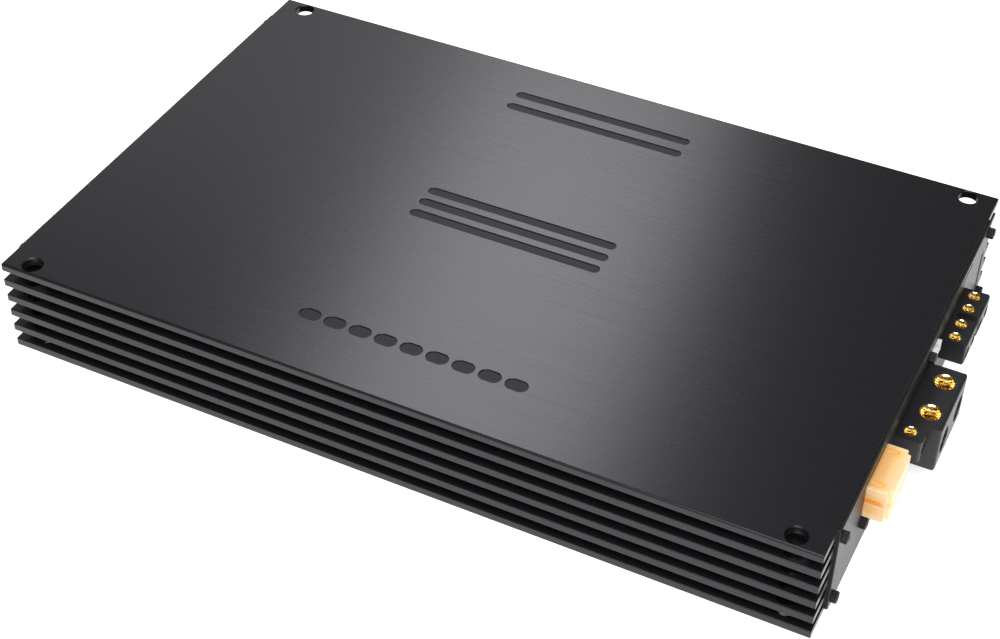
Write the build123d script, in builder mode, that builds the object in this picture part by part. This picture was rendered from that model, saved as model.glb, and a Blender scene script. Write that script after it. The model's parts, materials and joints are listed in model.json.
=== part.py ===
from build123d import *
import os

# Car power amplifier: a finned aluminium extrusion closed by a steel bottom plate and two end panels.
# Millimetres. X runs along the case, +X to the power terminals; +Z is up. The origin is the centre of
# the four mounting holes, on the plane that the bottom flanges stand on.

os.makedirs("parts", exist_ok=True)

# ---------------------------------------------------------------- heat sink extrusion
body_length = 400.0
body_width = 257.0
body_height = 50.0
web = 4.0                      # top plate, fins and side walls
fin_pitch = 9.2
fin_count = 5                  # fins under the top plate, each side
wall_outer = 114.0             # half width over the side walls
wall_inner = wall_outer - web
plate_under = body_height - web
edge_radius = 1.2
tip_radius = 0.4               # on the corners of the fin tips
hole_spacing_x = 372.8
hole_spacing_y = 244.6
driver_hole_r = 4.75           # through the top plate and the upper fins, for the screwdriver
driver_hole_chamfer = 0.5
mount_hole_r = 3.0             # in the bottom flange
end_chamfer = 0.3

# ---------------------------------------------------------------- fasteners (M3)
tap_r = 1.25
shank_r = 1.2
clear_r = 1.7
cap_head_r = 2.75
cap_head_height = 2.9
pan_head_r = 2.8
pan_head_height = 1.8
csk_head_r = 2.8

# ---------------------------------------------------------------- end panels and bottom plate
panel_thickness = 1.5
end_x = body_length / 2        # inner face of both panels
panel_x = end_x + panel_thickness
panel_half_width = 112.2
panel_low = 0.6
panel_high = 48.8
panel_screw_y = 108.5
panel_screw_rise = 18.3        # above and below the middle of the height
panel_screw_z = (body_height / 2 - panel_screw_rise, body_height / 2 + panel_screw_rise)
sheet_gap = 0.2
bottom_low = 0.9
bottom_high = 2.4
bottom_half_width = 109.6
bottom_screw_y = 104.5
bottom_screw_x = (-176.0, -88.0, 0.0, 88.0, 176.0)
channel_inner = 100.6          # inner edge of the screw channels along the side walls
lower_channel_top = 11.0
upper_channel_inner = 104.6
upper_channel_low = 39.2
sheet_edge = 0.35              # broken outer edge of both panels

# ---------------------------------------------------------------- circuit board
board_low = 34.6
board_thickness = 1.6
board_high = board_low + board_thickness
board_x = (-188.0, 196.4)
board_half_width = 108.4
board_screw_spots = [(x, y) for x in (-165.0, -30.0, 110.0) for y in (-88.0, 88.0)]

# ---------------------------------------------------------------- power and remote terminals
block_top = 34.5
power_face_x = 219.1
power_low = 10.0
power_y = (-23.5, 16.7)
power_centre_y = -3.4
power_pitch = 21.6
power_well_x = 211.2
power_well_r = 5.15
power_entry_r = 6.2
power_entry_z = 21.6
small_face_x = 213.4           # outer face of the remote and speaker sections
small_low = 23.0
small_well_x = 206.8
small_well_r = 3.1
small_entry_r = 3.1
small_entry_z = 27.6
small_tunnel_z = (25.0, 29.7)
remote_y = (-35.0, -23.5)
remote_well_y = -29.3
flange_x = (196.9, 199.9)      # collar behind the panel
flange_step = 1.5

# ---------------------------------------------------------------- speaker terminal
speaker_sections = ((34.6, 52.8), (56.4, 74.6))
speaker_well_offset = 4.9
speaker_web_x = 203.2          # the groove between the sections stops here

# ---------------------------------------------------------------- fuses
fuse_y = -61.0
fuse_width = 29.2
fuse_thickness = 8.5
fuse_z = (27.15, 35.95)
fuse_x = (190.0, 212.2)
fuse_opening_gap = 1.2         # between the fuses and the panel
blade_pitch = 20.6
blade_width = 8.0
blade_thickness = 0.8
blade_tip_x = 178.0
fuse_ear = (-75.0, 19.0)       # y, z of the holder's screw

# ---------------------------------------------------------------- other things on the terminal panel
bracket_screw = (12.8, 41.0)
socket_y = (16.2, 25.8)
socket_z = (36.25, 41.7)
socket_face_x = 203.3

# ---------------------------------------------------------------- controls
jack_y = (-88.0, -70.0, -46.0, -28.0)
control_z = 24.0
knob_names = ("gain", "low_pass", "subsonic", "bass_boost")
knob_y = (-4.0, 18.0, 40.0, 62.0)
switch_spots = ((82.0, 30.0), (82.0, 17.0))
switch_names = ("phase", "mode")
lamp_spots = ((97.0, 30.0), (97.0, 17.0))
shell_r = 4.15

# ---------------------------------------------------------------- power transistors
transistor_x = (-150.0, -126.0, -66.0, -42.0, 18.0, 42.0, 102.0, 126.0)
clamp_screw_x = (-138.0, -54.0, 30.0, 114.0)
pad_thickness = 0.3
transistor_depth = 4.8
transistor_width = 15.8
transistor_z = (11.6, 32.0)
clamp_thickness = 2.0
clamp_z = (19.0, 27.0)
transistor_face = wall_inner - pad_thickness - transistor_depth


def save(piece, label):
    """Names the finished piece and writes it as one STEP file."""
    piece.part.label = label
    export_step(piece.part, f"parts/{label}.step")


def block(x, y, z, mode=Mode.ADD):
    """A box between two corners, each axis given as (low, high)."""
    with Locations(((x[0] + x[1]) / 2, (y[0] + y[1]) / 2, (z[0] + z[1]) / 2)):
        Box(x[1] - x[0], y[1] - y[0], z[1] - z[0], mode=mode)


def post(x, y, z, radius, mode=Mode.ADD):
    """An upright round bar or hole between two heights z."""
    with Locations((x, y, z[0])):
        Cylinder(radius, z[1] - z[0], align=(Align.CENTER, Align.CENTER, Align.MIN), mode=mode)


def taper(x, y, z, low_r, high_r, mode=Mode.ADD):
    """An upright cone between two heights z, from radius low_r at the bottom to high_r."""
    with Locations((x, y, z[0])):
        Cone(low_r, high_r, z[1] - z[0], align=(Align.CENTER, Align.CENTER, Align.MIN), mode=mode)


def bar(x, y, z, radius, mode=Mode.ADD):
    """A round bar or hole along X between two places x."""
    with Locations((x[0], y, z)):
        Cylinder(
            radius,
            x[1] - x[0],
            rotation=(0, 90, 0),
            align=(Align.CENTER, Align.CENTER, Align.MIN),
            mode=mode,
        )


def around(middle, width):
    """The two ends of a span of that width."""
    return (middle - width / 2, middle + width / 2)


# ================================================================ heat sink
fin_tip = body_width / 2
fin_middle = (fin_tip + wall_inner) / 2
badge_depth = 0.45
badge_edge = 0.15
tapped_depth = 2.9
end_tap_depth = 16.0
lowest_gap_floor = 5.0         # the driver holes stop in the lowest gap, over the flange

with BuildPart() as heatsink:
    with BuildSketch(Plane.YZ) as profile:
        with Locations((0, body_height - web / 2)):
            Rectangle(body_width, web)
        for side in (-1, 1):
            with Locations((side * (wall_outer - web / 2), plate_under / 2)):
                Rectangle(web, plate_under)
            for level in range(1, fin_count + 1):
                with Locations((side * fin_middle, body_height - web / 2 - level * fin_pitch)):
                    Rectangle(fin_tip - wall_inner, web)
            lower_middle = side * (channel_inner + wall_inner) / 2
            with Locations((lower_middle, (bottom_high + lower_channel_top) / 2)):
                Rectangle(wall_inner - channel_inner, lower_channel_top - bottom_high)
            upper_middle = side * (upper_channel_inner + wall_inner) / 2
            with Locations((upper_middle, (upper_channel_low + plate_under) / 2)):
                Rectangle(wall_inner - upper_channel_inner, plate_under - upper_channel_low)
        tips = profile.vertices().filter_by(lambda corner: abs(corner.X) > fin_tip - 0.1)
        fillet(tips.filter_by(lambda corner: corner.Y < body_height - 0.1), radius=tip_radius)
        fillet(profile.vertices().group_by(Axis.Y)[-1], radius=edge_radius)
    extrude(amount=end_x, both=True)
    chamfer(heatsink.edges().filter_by(Axis.Y).group_by(Axis.Z)[-1], length=end_chamfer)
    # The corner holes: wide for the driver down to the last gap, narrow in the bottom flange.
    with BuildSketch(Plane.XY.offset(body_height)):
        with GridLocations(hole_spacing_x, hole_spacing_y, 2, 2):
            Circle(driver_hole_r)
    extrude(amount=lowest_gap_floor - body_height, mode=Mode.SUBTRACT)
    with BuildSketch(Plane.XY):
        with GridLocations(hole_spacing_x, hole_spacing_y, 2, 2):
            Circle(mount_hole_r)
    extrude(amount=web, mode=Mode.SUBTRACT)
    chamfer(heatsink.edges().filter_by(GeomType.CIRCLE).group_by(Axis.Z)[-1], length=driver_hole_chamfer)
    # Plain pressed ornament: two short bars, three long bars and a row of dashes.
    with BuildSketch(Plane.XY.offset(body_height)):
        with Locations((1.0, 97.0)):
            with GridLocations(0, 11.0, 1, 2):
                SlotOverall(96.0, 5.0)
        with Locations((0, 1.0)):
            with GridLocations(0, 9.4, 1, 3):
                SlotOverall(99.0, 5.2)
        with Locations((-2.5, -94.5)):
            with GridLocations(12.9, 0, 9, 1):
                SlotOverall(10.6, 7.0)
    extrude(amount=-badge_depth, mode=Mode.SUBTRACT)
    outlines = heatsink.faces().sort_by(Axis.Z)[-1].inner_wires()
    rims = [edge for outline in outlines if len(outline.edges()) > 1 for edge in outline.edges()]
    chamfer(rims, length=badge_edge)
    # Tapped holes: board screws from below, panel screws from both ends, bottom plate and clamp screws.
    for x, y in board_screw_spots:
        post(x, y, (plate_under, plate_under + tapped_depth), tap_r, Mode.SUBTRACT)
    for side in (-1, 1):
        for z in panel_screw_z:
            bar((end_x - end_tap_depth, end_x), side * panel_screw_y, z, tap_r, Mode.SUBTRACT)
            bar((-end_x, end_tap_depth - end_x), side * panel_screw_y, z, tap_r, Mode.SUBTRACT)
        for x in bottom_screw_x:
            post(x, side * bottom_screw_y, (bottom_high, lower_channel_top - 1.5), tap_r, Mode.SUBTRACT)
        with BuildSketch(Plane.XZ.offset(-side * wall_inner)):
            for x in clamp_screw_x:
                with Locations((x, sum(clamp_z) / 2)):
                    Circle(tap_r)
        extrude(amount=-side * 3.2, mode=Mode.SUBTRACT)
save(heatsink, "heatsink_cover")

# ================================================================ bottom plate and its screws
with BuildPart() as bottom_plate:
    block(
        (sheet_gap - end_x, end_x - sheet_gap),
        (-bottom_half_width, bottom_half_width),
        (bottom_low, bottom_high),
    )
    for side in (-1, 1):
        for x in bottom_screw_x:
            sheet = (bottom_low, bottom_high)
            taper(x, side * bottom_screw_y, sheet, csk_head_r + 0.1, clear_r, Mode.SUBTRACT)
save(bottom_plate, "bottom_plate")

with BuildPart() as bottom_screws:
    for side in (-1, 1):
        for x in bottom_screw_x:
            taper(x, side * bottom_screw_y, (bottom_low, bottom_low + 1.4), csk_head_r, shank_r)
            post(x, side * bottom_screw_y, (bottom_low + 1.3, lower_channel_top - 2.5), shank_r)
            with BuildSketch(Plane.XY.offset(bottom_low)):
                with Locations((x, side * bottom_screw_y)):
                    RegularPolygon(1.0, 6)
            extrude(amount=0.8, mode=Mode.SUBTRACT)
save(bottom_screws, "bottom_plate_screws")

# ================================================================ end panels
cut_gap = 0.3
panel_middle_z = (panel_low + panel_high) / 2
panel_height = panel_high - panel_low


def cut(y, z, gap=cut_gap):
    """A rectangular opening in a panel sketch, given as spans of what passes through it."""
    with Locations(((y[0] + y[1]) / 2, (z[0] + z[1]) / 2)):
        Rectangle(y[1] - y[0] + 2 * gap, z[1] - z[0] + 2 * gap, mode=Mode.SUBTRACT)


fuse_stack_y = around(fuse_y, fuse_width)
fuse_stack_z = (fuse_z[0] - fuse_thickness / 2, fuse_z[1] + fuse_thickness / 2)
panel_corners = [(side * panel_screw_y, z) for side in (-1, 1) for z in panel_screw_z]

with BuildPart() as terminal_panel:
    with BuildSketch(Plane.YZ.offset(end_x)):
        with Locations((0, panel_middle_z)):
            RectangleRounded(2 * panel_half_width, panel_height, 1.5)
        cut(power_y, (power_low, block_top))
        cut(remote_y, (small_low, block_top))
        cut((speaker_sections[0][0], speaker_sections[1][1]), (small_low, block_top))
        cut(fuse_stack_y, fuse_stack_z, fuse_opening_gap)
        cut(socket_y, socket_z)
        with Locations(*panel_corners, fuse_ear, bracket_screw):
            Circle(clear_r, mode=Mode.SUBTRACT)
    extrude(amount=panel_thickness)
    chamfer(terminal_panel.faces().sort_by(Axis.X)[-1].outer_wire().edges(), length=sheet_edge)
save(terminal_panel, "terminal_panel")

jack_hole_r = 4.1
shaft_r = 3.0
lever_slot = (9.0, 3.6)
lamp_r = 1.5

with BuildPart() as control_panel:
    with BuildSketch(Plane.YZ.offset(-panel_x)):
        with Locations((0, panel_middle_z)):
            RectangleRounded(2 * panel_half_width, panel_height, 1.5)
        with Locations(*[(y, control_z) for y in jack_y]):
            Circle(jack_hole_r, mode=Mode.SUBTRACT)
        with Locations(*[(y, control_z) for y in knob_y]):
            Circle(shaft_r + 0.5, mode=Mode.SUBTRACT)
        with Locations(*switch_spots):
            Rectangle(*lever_slot, mode=Mode.SUBTRACT)
        with Locations(*lamp_spots):
            Circle(lamp_r + 0.1, mode=Mode.SUBTRACT)
        with Locations(*panel_corners):
            Circle(clear_r, mode=Mode.SUBTRACT)
    extrude(amount=panel_thickness)
    chamfer(control_panel.faces().sort_by(Axis.X)[0].outer_wire().edges(), length=sheet_edge)
save(control_panel, "control_panel")

# ================================================================ panel screws, socket cap heads
cap_shank = 11.0
cap_edge = 0.35
key_r = 1.45
key_depth = 1.6


def cap_screw(y, z, face_x, way):
    """A socket cap screw along X with its head standing on face_x; way is +1 or -1, outwards."""
    head_end = face_x + way * cap_head_height
    bar(sorted((face_x, head_end)), y, z, cap_head_r)
    bar(sorted((face_x - way * cap_shank, face_x)), y, z, shank_r)
    with BuildSketch(Plane.YZ.offset(head_end)) as key:
        with Locations((y, z)):
            RegularPolygon(key_r, 6)
    extrude(key.sketch, amount=-way * key_depth, mode=Mode.SUBTRACT)


with BuildPart() as terminal_screws:
    for y, z in [*panel_corners, fuse_ear, bracket_screw]:
        cap_screw(y, z, panel_x, 1)
    chamfer(terminal_screws.edges().filter_by(GeomType.CIRCLE).group_by(Axis.X)[-1], length=cap_edge)
save(terminal_screws, "terminal_panel_screws")

with BuildPart() as control_screws:
    for y, z in panel_corners:
        cap_screw(y, z, -panel_x, -1)
    chamfer(control_screws.edges().filter_by(GeomType.CIRCLE).group_by(Axis.X)[0], length=cap_edge)
save(control_screws, "control_panel_screws")

# ================================================================ circuit board on spacers
fuse_notch_x = 171.5
fuse_notch_y = (-82.0, -40.0)
contact_pin_r = 0.8
contact_pin_x = 191.5
power_wells_y = [power_centre_y - power_pitch / 2, power_centre_y + power_pitch / 2]
speaker_wells_y = [
    sum(section) / 2 + offset
    for section in speaker_sections
    for offset in (-speaker_well_offset, speaker_well_offset)
]
contact_ys = [*power_wells_y, remote_well_y, *speaker_wells_y]
socket_pin_y = [sum(socket_y) / 2 + step * 2.54 for step in (-1, 0, 1)]
socket_pin_x = 188.0
lead_r = 0.6
transistor_lead_y = wall_inner - 3.4
lead_pitch = 5.4
lead_offsets = (-lead_pitch, 0.0, lead_pitch)
transistor_leads = [
    (x + offset, side * transistor_lead_y)
    for side in (-1, 1)
    for x in transistor_x
    for offset in lead_offsets
]

with BuildPart() as board:
    block(board_x, (-board_half_width, board_half_width), (board_low, board_high))
    block((fuse_notch_x, board_x[1] + 1), fuse_notch_y, (board_low - 1, board_high + 1), Mode.SUBTRACT)
    with BuildSketch(Plane.XY.offset(board_low)):
        with Locations(*board_screw_spots):
            Circle(clear_r)
        with Locations(*[(contact_pin_x, y) for y in contact_ys]):
            Circle(contact_pin_r + 0.2)
        with Locations(*[(socket_pin_x, y) for y in socket_pin_y]):
            Circle(0.6)
        with Locations(*transistor_leads):
            Circle(lead_r + 0.2)
    extrude(amount=board_thickness, mode=Mode.SUBTRACT)
save(board, "main_board")

with BuildPart() as spacers:
    with BuildSketch(Plane.XY.offset(board_high)):
        with Locations(*board_screw_spots):
            RegularPolygon(3.2, 6)
            Circle(clear_r, mode=Mode.SUBTRACT)
    extrude(amount=plate_under - board_high)
save(spacers, "board_spacers")

with BuildPart() as board_screws:
    for x, y in board_screw_spots:
        post(x, y, (board_low - pan_head_height, board_low), pan_head_r)
        post(x, y, (board_low, plate_under + tapped_depth - 0.3), shank_r)
        with BuildSketch(Plane.XY.offset(board_low - pan_head_height)):
            with Locations((x, y)):
                Rectangle(3.0, 0.8)
                Rectangle(0.8, 3.0)
        extrude(amount=1.0, mode=Mode.SUBTRACT)
save(board_screws, "board_screws")

with BuildPart() as bracket:
    bracket_y = around(bracket_screw[0], 5.8)
    block((184.0, 199.9), bracket_y, (board_high, board_high + 1.5))
    block((198.4, 199.9), bracket_y, (board_high, 45.4))
    bar((198.0, 200.0), *bracket_screw, tap_r, Mode.SUBTRACT)
    fillet(bracket.edges().filter_by(Axis.X).group_by(Axis.Z)[-1], radius=1.0)
save(bracket, "board_bracket")

# ================================================================ power and remote terminal housing
front_edge_r = 1.3
power_cage = (16.0, (13.4, 33.2))        # width, heights of the brass block
small_cage = (7.6, (24.1, 33.4))
cage_gap = 0.3
power_cage_x = (203.6, 217.2)
small_cage_x = (202.6, 211.6)


def chamber(y, width, z, face_x):
    """The pocket for one brass block, open at the back of the housing."""
    block(
        (flange_x[0], face_x),
        around(y, width + 2 * cage_gap),
        (z[0] - cage_gap, z[1] + cage_gap),
        Mode.SUBTRACT,
    )


with BuildPart() as power_housing:
    block((flange_x[1], power_face_x), power_y, (power_low, block_top))
    fillet(power_housing.faces().sort_by(Axis.X)[-1].edges(), radius=front_edge_r)
    block((flange_x[1], small_face_x), (remote_y[0], remote_y[1] + 2), (small_low, block_top))
    remote_side = power_housing.faces().filter_by(Axis.Y).sort_by(Axis.Y)[0]
    fillet(remote_side.edges().filter_by(Axis.Z).sort_by(Axis.X)[-1], radius=front_edge_r)
    block(
        flange_x,
        (remote_y[0] - flange_step, power_y[1] + flange_step),
        (power_low - flange_step, block_top + flange_step),
    )
    for y in power_wells_y:
        chamber(y, power_cage[0], power_cage[1], power_cage_x[1] + 0.1)
        bar((power_cage_x[1], power_face_x + 1), y, power_entry_z, power_entry_r, Mode.SUBTRACT)
        post(power_well_x, y, (power_cage[1][1], block_top + 1), power_well_r, Mode.SUBTRACT)
    chamber(remote_well_y, small_cage[0], small_cage[1], small_cage_x[1] + 0.1)
    bar((small_cage_x[1], small_face_x + 1), remote_well_y, small_entry_z, small_entry_r, Mode.SUBTRACT)
    post(small_well_x, remote_well_y, (small_cage[1][1], block_top + 1), small_well_r, Mode.SUBTRACT)
save(power_housing, "power_terminal_housing")

# ================================================================ speaker terminal housing
with BuildPart() as speaker_housing:
    speaker_y = (speaker_sections[0][0], speaker_sections[1][1])
    block((flange_x[1], speaker_web_x), speaker_y, (small_low, block_top))
    for section in speaker_sections:
        block((flange_x[1], small_face_x), section, (small_low, block_top))
    fillet(speaker_housing.faces().filter_by(Axis.X).group_by(Axis.X)[-1].edges(), radius=1.2)
    block(
        flange_x,
        (speaker_y[0] - flange_step, speaker_y[1] + flange_step),
        (small_low - flange_step, block_top + flange_step),
    )
    for y in speaker_wells_y:
        chamber(y, small_cage[0], small_cage[1], small_cage_x[1] + 0.1)
        bar((small_cage_x[1], small_face_x + 1), y, small_entry_z, small_entry_r, Mode.SUBTRACT)
        post(small_well_x, y, (small_cage[1][1], block_top + 1), small_well_r, Mode.SUBTRACT)
save(speaker_housing, "speaker_terminal_housing")

# ================================================================ brass contact blocks
# Each screw is a plain cylinder at the pitch radius of its thread. The thread in the block is a stack of
# rings, cut from just outside the screw to the root of the thread.
power_screw_r = 4.4
power_thread = (1.5, 4.9)                # pitch, radius of the root
small_screw_r = 2.6
small_thread = (0.8, 2.9)
thread_gap = 0.05
collar_gap = 0.03                        # between the collar and its well in the housing
collar_land = 0.1                        # flat rim outside the lead-in chamfer
power_tunnel = (11.6, (15.6, 25.6))
small_tunnel = (5.6, small_tunnel_z)
lug_x = 189.0
power_contact_set = (power_cage, power_cage_x, power_tunnel, power_well_x, power_well_r)
small_contact_set = (small_cage, small_cage_x, small_tunnel, small_well_x, small_well_r)


def contact(y, sizes, screw_r, thread):
    """One brass block: cable tunnel from +X, threaded collar on top, lug and pin to the board."""
    (width, heights), cage_x, tunnel, well_x, well_r = sizes
    pitch, root_r = thread
    bore_r = screw_r + thread_gap
    collar_r = well_r - collar_gap
    block(cage_x, around(y, width), heights)
    post(well_x, y, (heights[1] - 0.5, block_top), collar_r)
    block((cage_x[0] + 1.5, cage_x[1] + 1), around(y, tunnel[0]), tunnel[1], Mode.SUBTRACT)
    post(well_x, y, (tunnel[1][1] - 0.5, block_top + 1), bore_r, Mode.SUBTRACT)
    lead_in = collar_r - collar_land - bore_r
    taper(well_x, y, (block_top - lead_in, block_top), bore_r, bore_r + lead_in, Mode.SUBTRACT)
    turn_z = block_top - lead_in - pitch
    while turn_z > tunnel[1][1]:
        taper(well_x, y, (turn_z, turn_z + pitch / 2), bore_r, root_r, Mode.SUBTRACT)
        taper(well_x, y, (turn_z + pitch / 2, turn_z + pitch), root_r, bore_r, Mode.SUBTRACT)
        turn_z -= pitch
    block((lug_x, cage_x[0] + 0.5), around(y, 5.0), (heights[1] - 2.0, heights[1]))
    post(contact_pin_x, y, (heights[1] - 0.5, board_high + 1.2), contact_pin_r)


for number, y in enumerate(power_wells_y, 1):
    with BuildPart() as power_contact:
        contact(y, power_contact_set, power_screw_r, power_thread)
    save(power_contact, f"power_contact_{number}")

with BuildPart() as remote_contact:
    contact(remote_well_y, small_contact_set, small_screw_r, small_thread)
save(remote_contact, "remote_contact")

with BuildPart() as speaker_contacts:
    for y in speaker_wells_y:
        contact(y, small_contact_set, small_screw_r, small_thread)
save(speaker_contacts, "speaker_contacts")

# ================================================================ clamping screws and pressure plates
power_screw_z = (22.2, 29.2)
power_plate = (9.0, 1.0)                 # side and thickness
power_key = (2.9, 4.2)                   # corner radius and depth of the hexagon socket
small_screw_z = (27.2, 31.2)
small_plate = (4.8, 0.8)
small_key = (1.5, 2.2)


def clamp_set(label, x, y, screw_r, screw_z, plate, key):
    """A socket set screw and the plate that it presses on the cable, as two pieces."""
    side, thickness = plate
    socket_r, depth = key
    with BuildPart() as screw:
        post(x, y, screw_z, screw_r)
        chamfer(screw.edges().filter_by(GeomType.CIRCLE), length=0.35)
        with BuildSketch(Plane.XY.offset(screw_z[1])):
            with Locations((x, y)):
                RegularPolygon(socket_r, 6)
        extrude(amount=-depth, mode=Mode.SUBTRACT)
    save(screw, f"{label}_screw")
    with BuildPart() as plate_piece:
        with BuildSketch(Plane.XY.offset(screw_z[0] - 0.05)):
            with Locations((x, y)):
                RectangleRounded(side, side, side / 6)
        extrude(amount=-thickness)
    save(plate_piece, f"{label}_pressure_plate")


for number, y in enumerate(power_wells_y, 1):
    clamp_set(f"power_{number}", power_well_x, y, power_screw_r, power_screw_z, power_plate, power_key)
clamp_set("remote", small_well_x, remote_well_y, small_screw_r, small_screw_z, small_plate, small_key)
for number, y in enumerate(speaker_wells_y, 1):
    clamp_set(f"speaker_{number}", small_well_x, y, small_screw_r, small_screw_z, small_plate, small_key)

# ================================================================ fuse holder, contacts and fuses
holder_x = (174.0, 199.9)
pocket_x = 188.5
pocket_gap = 0.25
holder_wall = 3.0
clip_x = (172.8, 187.6)
clip_web = 1.2
clip_leaf = 0.8
blade_ys = (fuse_y - blade_pitch / 2, fuse_y + blade_pitch / 2)

with BuildPart() as holder:
    block(
        holder_x,
        (fuse_stack_y[0] - holder_wall, fuse_stack_y[1] + holder_wall),
        (fuse_stack_z[0] - 2.2, fuse_stack_z[1] + 2.2),
    )
    block((190.0, holder_x[1]), around(fuse_ear[0], 7.2), (15.2, fuse_stack_z[0] - 1))
    block(
        (pocket_x, holder_x[1] + 1),
        (fuse_stack_y[0] - pocket_gap, fuse_stack_y[1] + pocket_gap),
        (fuse_stack_z[0] - pocket_gap, fuse_stack_z[1] + pocket_gap),
        Mode.SUBTRACT,
    )
    for y in blade_ys:
        for z in fuse_z:
            block((holder_x[0] - 1, pocket_x + 1), around(y, 9.2), around(z, 4.2), Mode.SUBTRACT)
    bar((holder_x[0] + 8, holder_x[1] + 1), *fuse_ear, tap_r, Mode.SUBTRACT)
save(holder, "fuse_holder")

with BuildPart() as clips:
    for y in blade_ys:
        block(
            (clip_x[0], clip_x[0] + clip_web),
            around(y, 7.0),
            (fuse_z[0] - 1.25, fuse_z[1] + 1.25),
        )
        block((163.0, clip_x[0] + clip_web), around(y, 7.0), (board_low - 0.9, board_low))
        for z in fuse_z:
            inner = blade_thickness / 2 + thread_gap
            block((clip_x[0], clip_x[1]), around(y, 8.4), (z + inner, z + inner + clip_leaf))
            block((clip_x[0], clip_x[1]), around(y, 8.4), (z - inner - clip_leaf, z - inner))
save(clips, "fuse_clips")

grip_step = 1.7
grip_shoulder = 2.5
moulded_r = 0.5
window_x = (fuse_x[0] + 4.0, fuse_x[1] - 4.8)
window_width = 2.6
window_depth = 0.9
for number, z in enumerate(fuse_z, 1):
    with BuildPart() as fuse_body:
        block((fuse_x[0], fuse_x[1] - grip_step), fuse_stack_y, around(z, fuse_thickness))
        block(fuse_x, around(fuse_y, fuse_width - 2 * grip_shoulder), around(z, fuse_thickness))
        fillet(fuse_body.edges(), radius=moulded_r)
        # Two test windows near the ends of each broad face.
        for y in blade_ys:
            for face in (-1, 1):
                skin = around(z + face * fuse_thickness / 2, 2 * window_depth)
                block(window_x, around(y, window_width), skin, Mode.SUBTRACT)
    save(fuse_body, f"fuse_{number}_body")
    with BuildPart() as fuse_blades:
        for y in blade_ys:
            block((blade_tip_x, fuse_x[0]), around(y, blade_width), around(z, blade_thickness))
        chamfer(fuse_blades.faces().filter_by(Axis.X).group_by(Axis.X)[0].edges(), length=0.25)
    save(fuse_blades, f"fuse_{number}_blades")

# ================================================================ remote level socket on the board
with BuildPart() as level_socket:
    block((190.0, socket_face_x), socket_y, socket_z)
    block((194.0, socket_face_x + 1), (17.4, 24.6), (37.4, 40.6), Mode.SUBTRACT)
    block((200.0, socket_face_x + 1), around(sum(socket_y) / 2, 2.0), (40.0, 42.0), Mode.SUBTRACT)
    for y in socket_pin_y:
        block((189.0, 195.0), around(y, 0.8), around(39.0, 0.8), Mode.SUBTRACT)
save(level_socket, "level_socket")

with BuildPart() as socket_pins:
    for y in socket_pin_y:
        block((socket_pin_x - 0.32, 200.0), around(y, 0.64), around(39.0, 0.64))
        block(around(socket_pin_x, 0.64), around(y, 0.64), (board_low - 1.2, 39.3))
save(socket_pins, "level_socket_pins")

# ================================================================ line jacks
jack_body_x = (-199.9, -186.0)
jack_tip_x = -211.0
shell_seat_x = jack_body_x[0] + 4.0
shell_neck_x = -201.8          # the shell is full size outside the panel, and steps down to its neck
shell_neck_r = 3.95
shell_bore_r = 3.7
core_r = 3.6
core_bore_r = 1.65

with BuildPart() as jack_body:
    block(jack_body_x, (jack_y[0] - 9.0, jack_y[-1] + 9.0), (12.5, 34.5))
    for y in jack_y:
        bar((jack_body_x[0] - 1, shell_seat_x), y, control_z, shell_neck_r, Mode.SUBTRACT)
save(jack_body, "line_jack_body")

with BuildPart() as jack_shells:
    for y in jack_y:
        bar((jack_tip_x, shell_neck_x), y, control_z, shell_r)
        bar((shell_neck_x, shell_seat_x), y, control_z, shell_neck_r)
        bar((jack_tip_x, shell_seat_x), y, control_z, shell_bore_r, Mode.SUBTRACT)
save(jack_shells, "line_jack_shells")

for colour, ys in (("white", jack_y[0::2]), ("red", jack_y[1::2])):
    with BuildPart() as jack_cores:
        for y in ys:
            bar((jack_tip_x + 0.6, shell_seat_x), y, control_z, core_r)
            bar((jack_tip_x + 0.6, shell_seat_x), y, control_z, core_bore_r, Mode.SUBTRACT)
    save(jack_cores, f"line_jack_cores_{colour}")

# ================================================================ rotary controls
knob_r = 4.9
knob_x = (-210.4, -202.1)
pot_x = (-199.8, -190.0)
flute_count = 18
flute_r = 0.55
pointer_z = (control_z + 0.8, control_z + knob_r + 1.0)

with BuildPart() as pots:
    for y in knob_y:
        block(pot_x, around(y, 12.0), (17.0, 30.5))
        bar((pot_x[0] - 1, pot_x[1] + 1), y, control_z, shaft_r + 0.05, Mode.SUBTRACT)
        for step in (-1, 0, 1):
            block((-194.6, -193.8), around(y + step * 3.0, 0.8), (30.0, board_low))
save(pots, "control_pots")

for name, y in zip(knob_names, knob_y):
    with BuildPart() as knob:
        bar(knob_x, y, control_z, knob_r)
        chamfer(knob.faces().sort_by(Axis.X)[0].edges(), length=0.6)
        with BuildSketch(Plane.YZ.offset(knob_x[0])):
            with Locations((y, control_z)):
                with PolarLocations(knob_r + 0.25, flute_count):
                    Circle(flute_r)
        extrude(amount=knob_x[1] - knob_x[0] - 1.0, mode=Mode.SUBTRACT)
        bar((knob_x[1] - 0.5, pot_x[1] - 1.5), y, control_z, shaft_r)
        # The pointer line across the face.
        block((knob_x[0] - 1, knob_x[0] + 0.7), around(y, 0.9), pointer_z, Mode.SUBTRACT)
    save(knob, f"{name}_knob")

# ================================================================ slide switches and lamps
lever_travel = 4.0
switch_x = (-199.8, -193.0)

with BuildPart() as switch_bodies:
    for y, z in switch_spots:
        block(switch_x, around(y, 12.6), around(z, 7.4))
        block((switch_x[0] - 1, switch_x[0] + 3.5), around(y, 9.6), around(z, 3.7), Mode.SUBTRACT)
save(switch_bodies, "switch_bodies")

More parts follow.
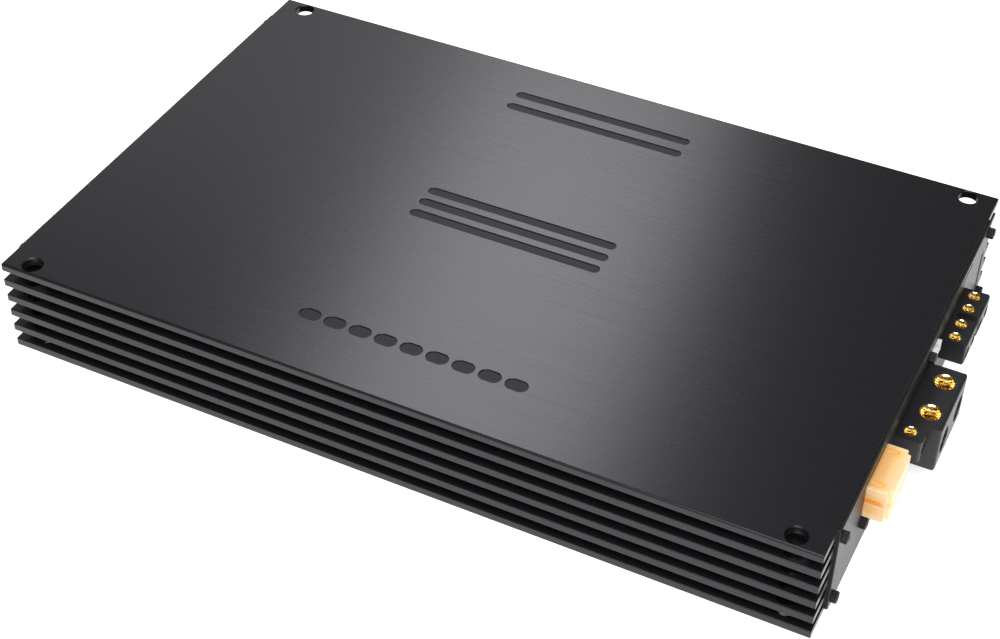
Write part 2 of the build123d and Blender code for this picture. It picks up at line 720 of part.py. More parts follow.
for name, (y, z) in zip(switch_names, switch_spots):
    with BuildPart() as lever:
        start = y - lever_travel / 2
        block((switch_x[0] + 0.3, switch_x[0] + 3.2), around(start, 5.0), around(z, 3.3))
        block((-203.6, switch_x[0] + 0.5), around(start, 3.6), around(z, 2.8))
        fillet(lever.faces().sort_by(Axis.X)[0].edges(), radius=0.4)
    save(lever, f"{name}_switch_lever")

for name, (y, z) in zip(("power", "protect"), lamp_spots):
    with BuildPart() as lamp:
        bar((-201.9, -196.0), y, z, lamp_r)
        bar((-199.9, -198.9), y, z, lamp_r + 0.5)
        fillet(lamp.faces().sort_by(Axis.X)[0].edges(), radius=0.7)
    save(lamp, f"{name}_lamp")

# ================================================================ power transistors, pads and clamps
with BuildPart() as transistors:
    for side in (-1, 1):
        near, far = sorted((side * transistor_face, side * (wall_inner - pad_thickness)))
        for x in transistor_x:
            block(around(x, transistor_width), (near, far), transistor_z)
    for x, y in transistor_leads:
        post(x, y, (transistor_z[1] - 0.5, board_high + 1.0), lead_r)
save(transistors, "power_transistors")

with BuildPart() as pads:
    for side in (-1, 1):
        near, far = sorted((side * (wall_inner - pad_thickness), side * wall_inner))
        for first, second in zip(transistor_x[0::2], transistor_x[1::2]):
            block((first - 9.5, second + 9.5), (near, far), (11.1, 33.5))
            screw_hole = (around((first + second) / 2, 4.0), (near, far), around(sum(clamp_z) / 2, 4.0))
            block(*screw_hole, Mode.SUBTRACT)
save(pads, "insulating_pads")

with BuildPart() as clamps:
    for side in (-1, 1):
        near, far = sorted((side * (transistor_face - clamp_thickness), side * transistor_face))
        for x in clamp_screw_x:
            block(around(x, 36.0), (near, far), clamp_z)
        with BuildSketch(Plane.XZ.offset(-side * (transistor_face - clamp_thickness))):
            for x in clamp_screw_x:
                with Locations((x, sum(clamp_z) / 2)):
                    Circle(clear_r)
        extrude(amount=-side * clamp_thickness, mode=Mode.SUBTRACT)
save(clamps, "transistor_clamps")

with BuildPart() as clamp_screws:
    for side in (-1, 1):
        head_y = transistor_face - clamp_thickness
        with BuildSketch(Plane.XZ.offset(-side * head_y)):
            for x in clamp_screw_x:
                with Locations((x, sum(clamp_z) / 2)):
                    Circle(pan_head_r)
        extrude(amount=side * pan_head_height)
        with BuildSketch(Plane.XZ.offset(-side * head_y)):
            for x in clamp_screw_x:
                with Locations((x, sum(clamp_z) / 2)):
                    Circle(shank_r)
        extrude(amount=-side * (wall_inner + 2.9 - head_y))
save(clamp_screws, "clamp_screws")

# ================================================================ coils and capacitors under the board
coil_top = board_low - 0.4
capacitor_spots = [(x, y) for x in (100.0, 124.0, 148.0) for y in (-24.0, 0.0, 24.0)]
small_capacitor_spots = [(x, y) for x in (-130.0, -112.0) for y in (-60.0, -42.0, -24.0, -6.0)]
capacitor_sets = ((capacitor_spots, 5.0, 9.0), (small_capacitor_spots, 14.0, 6.2))

# Power transformer, output coil and input coil: centre, outer and inner radius, height.
coils = (
    ((30.0, -40.0), 32.0, 13.0, 24.0),
    ((-50.0, 45.0), 26.0, 10.0, 20.0),
    ((60.0, 50.0), 20.0, 8.0, 16.0),
)
wire = 2.2

with BuildPart() as cores:
    for (x, y), outer_r, inner_r, height in coils:
        span = (coil_top - height + wire, coil_top - wire)
        post(x, y, span, outer_r - wire)
        post(x, y, span, inner_r + wire, Mode.SUBTRACT)
save(cores, "coil_cores")

with BuildPart() as windings:
    for (x, y), outer_r, inner_r, height in coils:
        span = (coil_top - height, coil_top)
        post(x, y, span, outer_r)
        post(x, y, span, inner_r, Mode.SUBTRACT)
    fillet(windings.edges().filter_by(GeomType.CIRCLE), radius=1.8)
    for (x, y), outer_r, inner_r, height in coils:
        with BuildSketch(Plane.XY.offset(coil_top - height + wire)):
            with Locations((x, y)):
                Circle(outer_r - wire)
                Circle(inner_r + wire, mode=Mode.SUBTRACT)
        extrude(amount=height - 2 * wire, mode=Mode.SUBTRACT)
save(windings, "coil_windings")

with BuildPart() as capacitors:
    for spots, low, radius in capacitor_sets:
        for x, y in spots:
            post(x, y, (low, board_low), radius)
        fillet(capacitors.edges().filter_by_position(Axis.Z, low - 0.1, low + 0.1), radius=0.8)
save(capacitors, "capacitors")
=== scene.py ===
"""Car amplifier: finishes, fine pieces, floor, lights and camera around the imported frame. Metres, +Z up."""
import json
import math

import bmesh
import bpy
from mathutils import Matrix, Quaternion, Vector


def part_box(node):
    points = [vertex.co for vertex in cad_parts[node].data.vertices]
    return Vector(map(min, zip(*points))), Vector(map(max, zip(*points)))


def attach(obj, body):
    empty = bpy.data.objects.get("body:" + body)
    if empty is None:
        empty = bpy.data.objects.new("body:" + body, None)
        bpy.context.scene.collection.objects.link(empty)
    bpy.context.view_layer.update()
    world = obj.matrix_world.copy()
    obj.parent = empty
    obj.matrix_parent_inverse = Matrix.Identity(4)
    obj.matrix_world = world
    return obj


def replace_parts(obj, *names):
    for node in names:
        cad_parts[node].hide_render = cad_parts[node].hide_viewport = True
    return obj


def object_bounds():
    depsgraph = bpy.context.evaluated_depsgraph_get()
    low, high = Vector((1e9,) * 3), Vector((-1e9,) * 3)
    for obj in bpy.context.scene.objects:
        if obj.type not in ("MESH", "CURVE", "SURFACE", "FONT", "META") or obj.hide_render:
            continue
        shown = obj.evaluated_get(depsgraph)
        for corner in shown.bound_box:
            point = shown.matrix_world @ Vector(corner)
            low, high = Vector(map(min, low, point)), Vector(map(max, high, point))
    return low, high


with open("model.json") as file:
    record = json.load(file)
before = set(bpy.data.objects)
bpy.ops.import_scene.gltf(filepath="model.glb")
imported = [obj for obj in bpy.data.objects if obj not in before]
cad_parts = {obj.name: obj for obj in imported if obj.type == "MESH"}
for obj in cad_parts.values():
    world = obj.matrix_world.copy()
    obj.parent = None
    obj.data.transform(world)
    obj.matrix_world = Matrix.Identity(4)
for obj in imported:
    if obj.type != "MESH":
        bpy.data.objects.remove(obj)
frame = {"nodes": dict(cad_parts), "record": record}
cad_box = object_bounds()
MM = 0.001

# A face that lies between these two soft heights is the floor of a pressed ornament in the top face.
TOP = cad_box[1][2]
ORNAMENT_BELOW = (TOP - 0.30 * MM, TOP - 0.20 * MM)
ORNAMENT_ABOVE = (TOP - 0.60 * MM, TOP - 0.55 * MM)

# Where the fuses' shades lie: bands along X, then distances from the middle of the pair along Y and Z.
fuse_low, fuse_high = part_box("fuse_1_body")[0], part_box("fuse_2_body")[1]
FUSE_MIDDLE = [(low + high) / 2 for low, high in zip(fuse_low, fuse_high)]
DEEP_TO_PALE_X = (fuse_low[0] + 14 * MM, fuse_high[0] + 1 * MM)
# Where the painted blade shading and the painted glow stop, short of the fuses' outer ends.
PAINTED_SHADE_AND_GLOW_END_X = (fuse_high[0] - 4.6 * MM, fuse_high[0] - 2.2 * MM)
WINDOW_X = (fuse_low[0] + 11 * MM, fuse_low[0] + 16 * MM)
END_RIDGE_Y = (12.4 * MM, 13.2 * MM)
SIDE_RIDGE_Z = (4.9 * MM, 5.9 * MM)
BLADE_Y = 10.3 * MM
BLADE_SPOT = (0.3 * MM, 2.6 * MM)      # from a blade's middle to the end of the spot of painted shading over it
GLOW_Z = 1.5 * MM                      # the painted glow's brightest line lies so far over the seam between the fuses
GLOW_SPREAD = (0.7 * MM, 1.9 * MM)


# ---------------------------------------------------------------- materials
def rgb(red, green, blue):
    return (red, green, blue, 1.0)


def grey(value):
    return rgb(value, value, value)


class Finish:
    """A material in the making: its Principled shader, and short calls for the textures that feed it."""

    def __init__(self, name, **sockets):
        self.material = bpy.data.materials.new(name)
        self.material.use_nodes = True
        self.nodes = self.material.node_tree.nodes
        self.links = self.material.node_tree.links
        self.shader = self.nodes["Principled BSDF"]
        self.place = self.nodes.new("ShaderNodeTexCoord").outputs["Object"]
        self.set(**sockets)

    def feed(self, socket, value):
        """Links a texture to a socket, or sets the socket where the value is a plain one."""
        if isinstance(value, bpy.types.NodeSocket):
            self.links.new(value, socket)
        else:
            socket.default_value = value

    def set(self, **sockets):
        """Feeds the shader's sockets, named with underscores, and gives the material."""
        for socket, value in sockets.items():
            self.feed(self.shader.inputs[socket.replace("_", " ")], value)
        return self.material

    def noise(self, scale, detail=2.0, roughness=0.5, distortion=0.0):
        """Noise with so many cells to the metre along X, Y and Z."""
        mapping = self.nodes.new("ShaderNodeMapping")
        mapping.inputs["Scale"].default_value = scale
        self.links.new(self.place, mapping.inputs["Vector"])
        texture = self.nodes.new("ShaderNodeTexNoise")
        texture.inputs["Scale"].default_value = 1.0
        texture.inputs["Detail"].default_value = detail
        texture.inputs["Roughness"].default_value = roughness
        texture.inputs["Distortion"].default_value = distortion
        self.links.new(mapping.outputs["Vector"], texture.inputs["Vector"])
        return texture.outputs["Fac"]

    def spread(self, value, low, high, start=0.3, end=0.7):
        """Maps a value between start and end onto low to high."""
        node = self.nodes.new("ShaderNodeMapRange")
        node.inputs["From Min"].default_value = start
        node.inputs["From Max"].default_value = end
        node.inputs["To Min"].default_value = low
        node.inputs["To Max"].default_value = high
        self.links.new(value, node.inputs["Value"])
        return node.outputs["Result"]

    def blend(self, factor, first, second):
        """A colour between two, by a texture."""
        node = self.nodes.new("ShaderNodeMix")
        node.data_type = "RGBA"
        self.links.new(factor, node.inputs["Factor"])
        self.feed(node.inputs["A"], first)
        self.feed(node.inputs["B"], second)
        return node.outputs["Result"]

    def combine(self, how, first, second=0.0):
        """One value out of two, by one of the Math node's operations."""
        node = self.nodes.new("ShaderNodeMath")
        node.operation = how
        self.feed(node.inputs[0], first)
        self.feed(node.inputs[1], second)
        return node.outputs["Value"]

    def off(self, value, centre=0.0):
        """How far a value is from a centre, either way."""
        return self.combine("ABSOLUTE", self.combine("SUBTRACT", value, centre))

    def part(self, vector, axis):
        """One axis of a vector."""
        split = self.nodes.new("ShaderNodeSeparateXYZ")
        self.links.new(vector, split.inputs["Vector"])
        return split.outputs[axis]

    def along(self, axis):
        """The place on the object along one axis, in metres."""
        return self.part(self.place, axis)

    def facing(self, axis):
        """1 where the surface faces along the axis, either way, and 0 where it runs beside it."""
        normal = self.nodes.new("ShaderNodeNewGeometry").outputs["Normal"]
        return self.off(self.part(normal, axis))

    def bump(self, height, depth, under=None):
        """Relief of so many metres, over any relief under it."""
        node = self.nodes.new("ShaderNodeBump")
        node.inputs["Strength"].default_value = 1.0
        node.inputs["Distance"].default_value = depth
        self.links.new(height, node.inputs["Height"])
        if under:
            self.links.new(under, node.inputs["Normal"])
        return node.outputs["Normal"]


def anodised():
    """Black anodised aluminium, brushed along X; the pressed ornament's floor is matt."""
    finish = Finish("anodised_black", IOR=1.43, Anisotropic=0.5, Specular_Tint=rgb(0.96, 0.93, 1.0))
    streaks = finish.noise((7.0, 1300.0, 1300.0), detail=3.0, roughness=0.6)
    fine = finish.noise((40.0, 5200.0, 5200.0), detail=1.0)
    colour = finish.blend(streaks, rgb(0.0078, 0.0074, 0.0088), rgb(0.0112, 0.0106, 0.0126))
    height = finish.along("Z")
    below = finish.spread(height, 1.0, 0.0, *ORNAMENT_BELOW)
    above = finish.spread(height, 0.0, 1.0, *ORNAMENT_ABOVE)
    pressed = finish.combine("MULTIPLY", finish.combine("MULTIPLY", below, above), finish.facing("Z"))
    across = finish.nodes.new("ShaderNodeCombineXYZ")
    across.inputs["X"].default_value = 0.03
    across.inputs["Y"].default_value = 1.0
    brushed = finish.spread(streaks, 0.25, 0.29)
    return finish.set(
        Base_Color=finish.blend(pressed, colour, rgb(0.004, 0.004, 0.005)),
        Roughness=finish.combine("ADD", brushed, finish.combine("MULTIPLY", pressed, 0.3)),
        Normal=finish.bump(fine, 1.0e-6, under=finish.bump(streaks, 2.4e-6)),
        Tangent=across.outputs["Vector"],
    )


def powder_coat():
    """Semi-gloss black powder coat with a fine orange peel."""
    finish = Finish("panel_black", IOR=1.28)
    peel = finish.noise((900.0,) * 3, detail=1.5)
    return finish.set(
        Base_Color=finish.blend(finish.noise((60.0,) * 3), grey(0.012), grey(0.02)),
        Roughness=finish.spread(peel, 0.31, 0.41),
        Normal=finish.bump(peel, 6e-6),
    )


def plastic(name, colour, flow_colour, roughness, grain=3200.0, ior=1.5):
    """Moulded plastic with a spark-eroded grain and faint flow marks."""
    finish = Finish(name, IOR=ior)
    texture = finish.noise((grain,) * 3)
    flow = finish.noise((70.0, 140.0, 140.0), distortion=0.6)
    return finish.set(
        Base_Color=finish.blend(flow, colour, flow_colour),
        Roughness=finish.spread(texture, roughness - 0.06, roughness + 0.08),
        Normal=finish.bump(texture, 4e-6),
    )


def metal(name, colour, tarnish_colour, roughness):
    """Plated or machined metal with fine turning marks and slight tarnish."""
    finish = Finish(name, Metallic=1.0)
    marks = finish.noise((400.0, 400.0, 3000.0))
    tarnish = finish.noise((500.0,) * 3, detail=3.0)
    return finish.set(
        Base_Color=finish.blend(tarnish, colour, tarnish_colour),
        Roughness=finish.spread(marks, roughness - 0.08, roughness + 0.12),
        Normal=finish.bump(marks, 2.5e-6),
    )


def blackened():
    """Black oxide on steel: nearly black, satin, with dark grey rubbed through in specks."""
    finish = Finish("black_screws", IOR=1.38)
    marks = finish.noise((900.0,) * 3)
    rubbed = finish.spread(finish.noise((2600.0,) * 3, detail=1.0), 0.0, 1.0, 0.62, 0.74)
    return finish.set(
        Base_Color=finish.blend(rubbed, rgb(0.005, 0.005, 0.006), grey(0.03)),
        Roughness=finish.spread(marks, 0.3, 0.44),
        Normal=finish.bump(marks, 3e-6),
    )


def amber_plastic():
    """Translucent amber: cream at the fuses' outer ends and deeper orange towards the panel.

    The moulded ridges are paler, each blade shows through its window as an orange spot of painted shading,
    and a painted glow, light through the plastic painted into its colour, lies along the seam between the two
    fuses.
    """
    finish = Finish("fuse_plastic", IOR=1.5, Subsurface_Weight=0.35, Subsurface_Scale=0.003)
    finish.shader.inputs["Subsurface Radius"].default_value = (1.0, 0.5, 0.2)
    skin = finish.noise((1800.0,) * 3)
    cloud = finish.noise((90.0, 140.0, 140.0), distortion=0.5)
    pale = finish.blend(cloud, rgb(1.0, 0.70, 0.40), rgb(1.0, 0.78, 0.50))
    deep = finish.blend(cloud, rgb(1.0, 0.50, 0.17), rgb(1.0, 0.57, 0.23))
    x, y, z = (finish.along(axis) for axis in "XYZ")
    outward = finish.spread(x, 0.0, 1.0, *DEEP_TO_PALE_X)
    inside_end = finish.spread(x, 1.0, 0.0, *PAINTED_SHADE_AND_GLOW_END_X)

    off_middle = finish.off(y, FUSE_MIDDLE[1])
    end_band = finish.spread(off_middle, 0.0, 0.6, *END_RIDGE_Y)
    side_band = finish.spread(finish.off(z, FUSE_MIDDLE[2]), 0.0, 0.6, *SIDE_RIDGE_Z)
    end_ridge = finish.combine("MULTIPLY", end_band, finish.facing("Z"))
    side_ridge = finish.combine("MULTIPLY", side_band, finish.facing("Y"))
    ridges = finish.combine("MAXIMUM", end_ridge, side_ridge)

    # Painted shading: over each blade, where it shows through its window, a deeper orange spot is painted
    # into the colour.
    over_blade = finish.spread(finish.off(off_middle, BLADE_Y), 1.0, 0.0, *BLADE_SPOT)
    window = finish.spread(x, 0.15, 0.8, *WINDOW_X)
    painted_blade_shade = finish.combine("MULTIPLY", finish.combine("MULTIPLY", over_blade, inside_end), window)

    # Painted glow: light through the amber painted into the colour as a bright orange band along the seam;
    # the plastic gives no light of its own.
    seam = finish.spread(finish.off(z, FUSE_MIDDLE[2] + GLOW_Z), 0.9, 0.0, *GLOW_SPREAD)
    glow = finish.combine("MULTIPLY", seam, inside_end)

    body = finish.blend(outward, deep, pale)
    ridged = finish.blend(ridges, body, rgb(1.0, 0.74, 0.46))
    spotted = finish.blend(painted_blade_shade, ridged, rgb(1.0, 0.56, 0.10))
    return finish.set(
        Base_Color=finish.blend(glow, spotted, rgb(1.0, 0.31, 0.0)),
        Roughness=finish.spread(skin, 0.24, 0.34),
        Normal=finish.bump(skin, 4e-6),
    )


METALS = {
    # slot: (colour, tarnish, roughness)
    "zinc_plate": (rgb(0.62, 0.62, 0.6), rgb(0.5, 0.5, 0.49), 0.34),
    "gold_brass": (rgb(1.0, 0.81, 0.43), rgb(0.92, 0.69, 0.27), 0.13),
    "fuse_metal": (rgb(0.66, 0.65, 0.62), rgb(0.5, 0.5, 0.48), 0.3),
    "spacer_brass": (rgb(0.78, 0.58, 0.25), rgb(0.62, 0.45, 0.2), 0.28),
    "spring_steel": (grey(0.55), grey(0.42), 0.26),
    "copper_wire": (rgb(0.72, 0.28, 0.1), rgb(0.6, 0.2, 0.07), 0.25),
}
PLASTICS = {
    # slot: (colour, flow marks, roughness, and where they differ from most: grain to the metre, IOR)
    "terminal_plastic": (rgb(0.0125, 0.0123, 0.0145), rgb(0.018, 0.0175, 0.0205), 0.38, 3200.0, 1.43),
    "holder_plastic": (grey(0.014), grey(0.022), 0.5),
    "white_nylon": (rgb(0.93, 0.925, 0.90), rgb(0.9, 0.89, 0.86), 0.4),
    "red_plastic": (rgb(0.55, 0.02, 0.02), rgb(0.42, 0.015, 0.015), 0.35),
    "board_laminate": (rgb(0.01, 0.12, 0.05), rgb(0.015, 0.17, 0.08), 0.35, 900.0),
    "package_black": (grey(0.014), grey(0.02), 0.8, 3200.0, 1.35),
    "pad_grey": (rgb(0.35, 0.4, 0.45), rgb(0.3, 0.34, 0.38), 0.7),
    "ferrite": (grey(0.06), grey(0.09), 0.6, 1500.0),
    "capacitor_sleeve": (rgb(0.012, 0.012, 0.03), rgb(0.02, 0.02, 0.04), 0.3),
    "knob_plastic": (grey(0.014), grey(0.02), 0.45),
    "lamp_green": (rgb(0.05, 0.6, 0.12), rgb(0.08, 0.7, 0.18), 0.15, 900.0),
    "lamp_red": (rgb(0.7, 0.04, 0.03), rgb(0.8, 0.06, 0.05), 0.15, 900.0),
}
finishes = {
    "anodised_black": anodised(),
    "panel_black": powder_coat(),
    "black_screws": blackened(),
    "fuse_plastic": amber_plastic(),
}
finishes.update({slot: metal(slot, *look) for slot, look in METALS.items()})
finishes.update({slot: plastic(slot, *look) for slot, look in PLASTICS.items()})

for part in frame["record"]["subparts"]:
    mesh = frame["nodes"][part["node"]].data
    mesh.materials.clear()
    mesh.materials.append(finishes[part["material_slot"]])


# ---------------------------------------------------------------- fine pieces
def add_piece(name, bm, body, slot):
    """Turns finished mesh code into an object that rides on a body and wears a slot's finish."""
    bmesh.ops.recalc_face_normals(bm, faces=bm.faces)
    mesh = bpy.data.meshes.new(name)
    bm.to_mesh(mesh)
    bm.free()
    piece = bpy.data.objects.new(name, mesh)
    bpy.context.scene.collection.objects.link(piece)
    mesh.materials.append(finishes[slot])
    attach(piece, body)
    return piece


def stack_rings(bm, rings):
    """Joins closed rings of equally many points into one closed skin."""
    loops = [[bm.verts.new(point) for point in ring] for ring in rings]
    for lower, upper in zip(loops, loops[1:]):
        count = len(lower)
        for i in range(count):
            bm.faces.new((lower[i], lower[(i + 1) % count], upper[(i + 1) % count], upper[i]))
    bm.faces.new(loops[0][::-1])
    bm.faces.new(loops[-1])


FLUTES = 32                    # grooves of the knurling round a head
STEPS = 3 * FLUTES             # points round a screw, a multiple of the hexagon's 6 too
FLUTE_DEPTH = 0.11 * MM
CAP_HEAD = 2.9 * MM
CAP_R = 2.75 * MM
SHANK = 11.0 * MM
SHANK_R = 1.2 * MM
KEY_DEPTH = 1.6 * MM
KEY_R = 1.45 * MM              # to the hexagon's corners
ROUNDING = 0.3 * MM            # of the head's and the shank's outer edges
BREAK = 0.15 * MM              # of the smaller edges
PLAIN_BAND = 0.5 * MM          # of the head, above its knurling


def ring_points(centre, out, height, reach_at):
    """Points round a screw's axis, which runs along X; out is +1 or -1, and reach_at gives their radii."""
    points = []
    for i in range(STEPS):
        angle = 2 * math.pi * i / STEPS
        reach = reach_at(i, angle)
        points.append(centre + Vector((out * height, reach * math.cos(angle), reach * math.sin(angle))))
    return points


def circle(centre, out, height, radius, knurled=False):
    """A ring about a screw's axis, with the knurling's grooves where it has them."""
    def reach_at(i, angle):
        return radius - (FLUTE_DEPTH if knurled and i % (STEPS // FLUTES) == 0 else 0.0)

    return ring_points(centre, out, height, reach_at)


def hexagon(centre, out, height, radius):
    """The same number of points round a hexagon with that corner radius."""
    def reach_at(i, angle):
        off_middle = (angle + math.pi / 6) % (math.pi / 3) - math.pi / 6
        return radius * math.cos(math.pi / 6) / math.cos(abs(off_middle) - math.pi / 6)

    return ring_points(centre, out, height, reach_at)


def cap_screw(bm, centre, out):
    """A socket cap screw with a knurled head; centre is where its head meets the panel."""
    stack_rings(
        bm,
        [
            circle(centre, out, -SHANK, SHANK_R - ROUNDING),
            circle(centre, out, -SHANK + ROUNDING, SHANK_R),
            circle(centre, out, 0.0, SHANK_R),
            circle(centre, out, 0.0, CAP_R - BREAK),
            circle(centre, out, BREAK, CAP_R),
            circle(centre, out, 0.4 * MM, CAP_R, knurled=True),
            circle(centre, out, CAP_HEAD - PLAIN_BAND, CAP_R, knurled=True),
            circle(centre, out, CAP_HEAD - ROUNDING, CAP_R - 0.05 * MM),
            circle(centre, out, CAP_HEAD - 0.08 * MM, CAP_R - ROUNDING),
            circle(centre, out, CAP_HEAD, CAP_R - ROUNDING - BREAK),
            hexagon(centre, out, CAP_HEAD, KEY_R + BREAK),
            hexagon(centre, out, CAP_HEAD - BREAK, KEY_R),
            hexagon(centre, out, CAP_HEAD - KEY_DEPTH, KEY_R),
            circle(centre, out, CAP_HEAD - KEY_DEPTH - 0.3 * MM, 0.3 * MM),
        ],
    )


def screw_places(node, out):
    """Where the heads of a node's screws meet the panel, read from its loose parts."""
    bm = bmesh.new()
    bm.from_mesh(frame["nodes"][node].data)
    bmesh.ops.remove_doubles(bm, verts=bm.verts, dist=1e-6)
    unseen = set(bm.verts)
    places = []
    while unseen:
        screw, border = set(), [unseen.pop()]
        while border:
            vert = border.pop()
            screw.add(vert)
            for edge in vert.link_edges:
                other = edge.other_vert(vert)
                if other in unseen:
                    unseen.discard(other)
                    border.append(other)
        xs, ys, zs = ([vert.co[axis] for vert in screw] for axis in range(3))
        head_x = max(xs) - CAP_HEAD if out > 0 else min(xs) + CAP_HEAD
        places.append(Vector((head_x, (min(ys) + max(ys)) / 2, (min(zs) + max(zs)) / 2)))
    bm.free()
    return sorted(places, key=lambda place: (round(place.y, 5), round(place.z, 5)))


for node, out in (("terminal_panel_screws", 1), ("control_panel_screws", -1)):
    skin = bmesh.new()
    for place in screw_places(node, out):
        cap_screw(skin, place, out)
    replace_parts(add_piece(f"knurled_{node}", skin, "case", "black_screws"), node)


BAR_RISE = 0.03 * MM              # how far the thin bars stand on a panel, printed marks and painted shadow alike
UPRIGHT = math.pi / 2

TICKS_A_SIDE = 5               # round each knob, either side of the middle tick
TICK_PITCH = math.radians(28)
TICK_START = 6.0 * MM          # from the knob's axis
LONG_TICK, SHORT_TICK = 1.5 * MM, 0.9 * MM
FINE_LINE = 0.3 * MM

SWITCH_TRAVEL = 4.0 * MM
SWITCH_GAP = 1.6 * MM          # from a lever, at either end of its travel, to the bar beside it
SWITCH_BAR = (2.0 * MM, 0.35 * MM)

JACK_PAIR = 13.1 * MM          # from the outermost jack's edge to the middle of its pair
JACK_GAP = 2.0 * MM            # from the jacks to the lines over and under them
JACK_LINE = 24.0 * MM

# The matt dark bars on the terminal panel, a line and a painted shadow: (from its +Y end, from its top,
# angle, length, width)
# Painted shadow: the dark band that falls down the panel below the upper screw at its +Y end.
SCREW_SHADOW_BAND = (8.8 * MM, 28.8 * MM, UPRIGHT, 29.0 * MM, 4.8 * MM)
TOP_LINE = (56.2 * MM, 3.8 * MM, 0.0, 48.0 * MM, 1.6 * MM)


def print_and_shadow_bar(bm, face_x, centre, angle, length, width, out=-1):
    """A thin bar on a panel's outer face, turned by an angle about X; it draws the print and the painted
    shadow.
    """
    along = Vector((0.0, math.cos(angle), math.sin(angle))) * length / 2
    across = Vector((0.0, -math.sin(angle), math.cos(angle))) * width / 2
    middle = Vector((face_x, *centre))
    corners = [middle + a * along + b * across for a, b in ((-1, -1), (1, -1), (1, 1), (-1, 1))]
    stack_rings(bm, [corners, [corner + Vector((out * BAR_RISE, 0.0, 0.0)) for corner in corners]])


def control_marks():
    """White ticks round the knobs, bars beside the switches and lines over and under the pairs of jacks."""
    face_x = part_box("control_panel")[0][0]
    bm = bmesh.new()
    for knob in ("gain", "low_pass", "subsonic", "bass_boost"):
        low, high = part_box(f"{knob}_knob")
        y, z = (low[1] + high[1]) / 2, (low[2] + high[2]) / 2
        for step in range(-TICKS_A_SIDE, TICKS_A_SIDE + 1):
            angle = UPRIGHT + step * TICK_PITCH
            length = LONG_TICK if step in (-TICKS_A_SIDE, 0, TICKS_A_SIDE) else SHORT_TICK
            reach = TICK_START + length / 2
            centre = (y + reach * math.cos(angle), z + reach * math.sin(angle))
            print_and_shadow_bar(bm, face_x, centre, angle, length, FINE_LINE)
    for switch in ("phase", "mode"):
        low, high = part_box(f"{switch}_switch_lever")
        z = (low[2] + high[2]) / 2
        for y in (low[1] - SWITCH_GAP, high[1] + SWITCH_TRAVEL + SWITCH_GAP):
            print_and_shadow_bar(bm, face_x, (y, z), UPRIGHT, *SWITCH_BAR)
    jack_low, jack_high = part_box("line_jack_shells")
    for z in (jack_low[2] - JACK_GAP, jack_high[2] + JACK_GAP):
        for y in (jack_low[1] + JACK_PAIR, jack_high[1] - JACK_PAIR):
            print_and_shadow_bar(bm, face_x, (y, z), 0.0, JACK_LINE, FINE_LINE)
    add_piece("control_marks", bm, "case", "white_nylon")


def terminal_line_and_painted_shadow():
    """A matt dark line along the top of the terminal panel, and a painted shadow near its +Y end: a dark band
    below the upper screw.
    """
    face_x, end_y, top_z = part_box("terminal_panel")[1]
    bm = bmesh.new()
    for inset, drop, angle, length, width in (SCREW_SHADOW_BAND, TOP_LINE):
        print_and_shadow_bar(bm, face_x, (end_y - inset, top_z - drop), angle, length, width, out=1)
    add_piece("terminal_line_and_painted_shadow", bm, "case", "package_black")


control_marks()
terminal_line_and_painted_shadow()


# ---------------------------------------------------------------- floor, lights and camera
FLOOR_HALF = 6.0
FLOOR_DROP = 0.2 * MM          # keeps the floor clear of the bottom plate
NEAR_GLOW = 0.72               # the floor's own light beside the object, which rises to 1 further off
GLOW_REACH = (0.4, 1.1)        # the radii over which it rises
UNDER_FADE = 4 * MM            # inside the case's outline the floor has no light of its own
DOWN = (0, 0, -1)
BAND_RUN = (-0.447, 2.793, 0)  # the way the bright band runs over the top plate


def softbox(name, place, aim, along, size, radiance):
    """A rectangular light at place, shining along aim, with its longer side along another direction."""
    data = bpy.data.lights.new(name, "AREA")
    data.shape = "RECTANGLE"
    data.size, data.size_y = size
    data.energy = radiance * math.pi * size[0] * size[1]
    light = bpy.data.objects.new(name, data)
    back = -Vector(aim).normalized()
    side = Vector(along).cross(back).normalized()
    up = back.cross(side)
    turn = Matrix((side, up, back)).transposed().to_4x4()
    light.matrix_world = Matrix.Translation(place) @ turn
    bpy.context.scene.collection.objects.link(light)


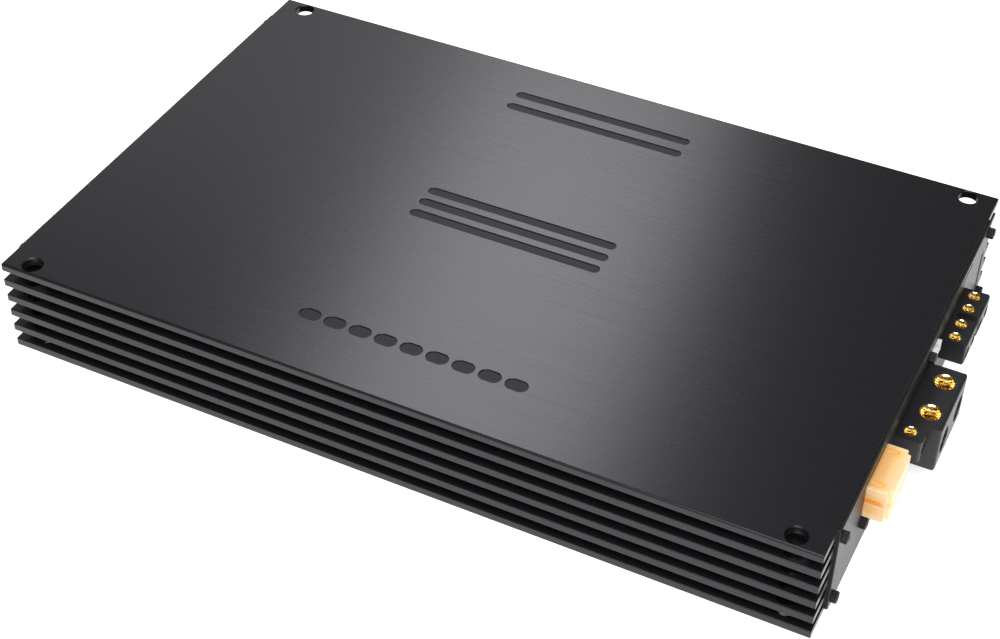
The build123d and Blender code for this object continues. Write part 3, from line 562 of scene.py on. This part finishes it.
def make_floor():
    """Pale paper that gives some light of its own, so that it stays white round the object."""
    mesh = bpy.data.meshes.new("floor")
    corners = [(a * FLOOR_HALF, b * FLOOR_HALF, 0) for a, b in ((-1, -1), (1, -1), (1, 1), (-1, 1))]
    mesh.from_pydata(corners, [], [(0, 1, 2, 3)])
    floor = bpy.data.objects.new("floor", mesh)
    floor.location.z = -FLOOR_DROP
    bpy.context.scene.collection.objects.link(floor)
    finish = Finish("floor_paper", Roughness=0.7, Emission_Color=grey(1.0))
    fibres = finish.noise((30.0,) * 3)
    away = finish.nodes.new("ShaderNodeVectorMath")
    away.operation = "LENGTH"
    finish.links.new(finish.place, away.inputs[0])
    glow = finish.spread(away.outputs["Value"], NEAR_GLOW, 1.0, *GLOW_REACH)
    case_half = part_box("heatsink_cover")[1]
    beyond = [
        finish.spread(finish.off(finish.along(axis)), 0.0, 1.0, half - UNDER_FADE, half)
        for axis, half in (("X", case_half[0]), ("Y", case_half[1]))
    ]
    outside = finish.combine("MAXIMUM", *beyond)
    paper = finish.set(
        Base_Color=finish.blend(fibres, grey(0.84), grey(0.86)),
        Emission_Strength=finish.combine("MULTIPLY", glow, outside),
    )
    mesh.materials.append(paper)


def make_world():
    """A faint, slightly cool light from all round."""
    world = bpy.data.worlds.new("studio")
    world.use_nodes = True
    background = world.node_tree.nodes["Background"]
    background.inputs["Color"].default_value = rgb(0.97, 0.98, 1.0)
    background.inputs["Strength"].default_value = 0.15
    bpy.context.scene.world = world


def make_camera():
    """A camera that looks down on the fins of the -Y side and on the terminals."""
    data = bpy.data.cameras.new("camera")
    data.sensor_width = 36.0
    data.lens = 67.7
    camera = bpy.data.objects.new("camera", data)
    target = Vector((23.7, -59.5, 50.0)) * MM
    azimuth, elevation, roll = (math.radians(angle) for angle in (26.25, 41.5, 0.28))
    distance = 0.8418
    back = Vector(
        (
            math.sin(azimuth) * math.cos(elevation),
            -math.cos(azimuth) * math.cos(elevation),
            math.sin(elevation),
        )
    )
    camera.location = target + distance * back
    camera.rotation_mode = "QUATERNION"
    camera.rotation_quaternion = (-back).to_track_quat("-Z", "Y") @ Quaternion((0, 0, 1), roll)
    bpy.context.scene.collection.objects.link(camera)
    bpy.context.scene.camera = camera


make_floor()
make_world()
make_camera()
softbox("strip", place=(-0.465, 0.92, 1.05), aim=DOWN, along=BAND_RUN, size=(0.36, 1.4), radiance=6.0)
softbox("left_fill", place=(-1.2, 1.5, 1.05), aim=DOWN, along=BAND_RUN, size=(0.9, 1.3), radiance=0.95)
overhead = Vector((0.5, -0.9, 1.7))
softbox("overhead", place=overhead, aim=-overhead, along=(0, 1, 0), size=(1.6, 1.6), radiance=5.2)
bpy.context.scene.view_settings.view_transform = "Standard"
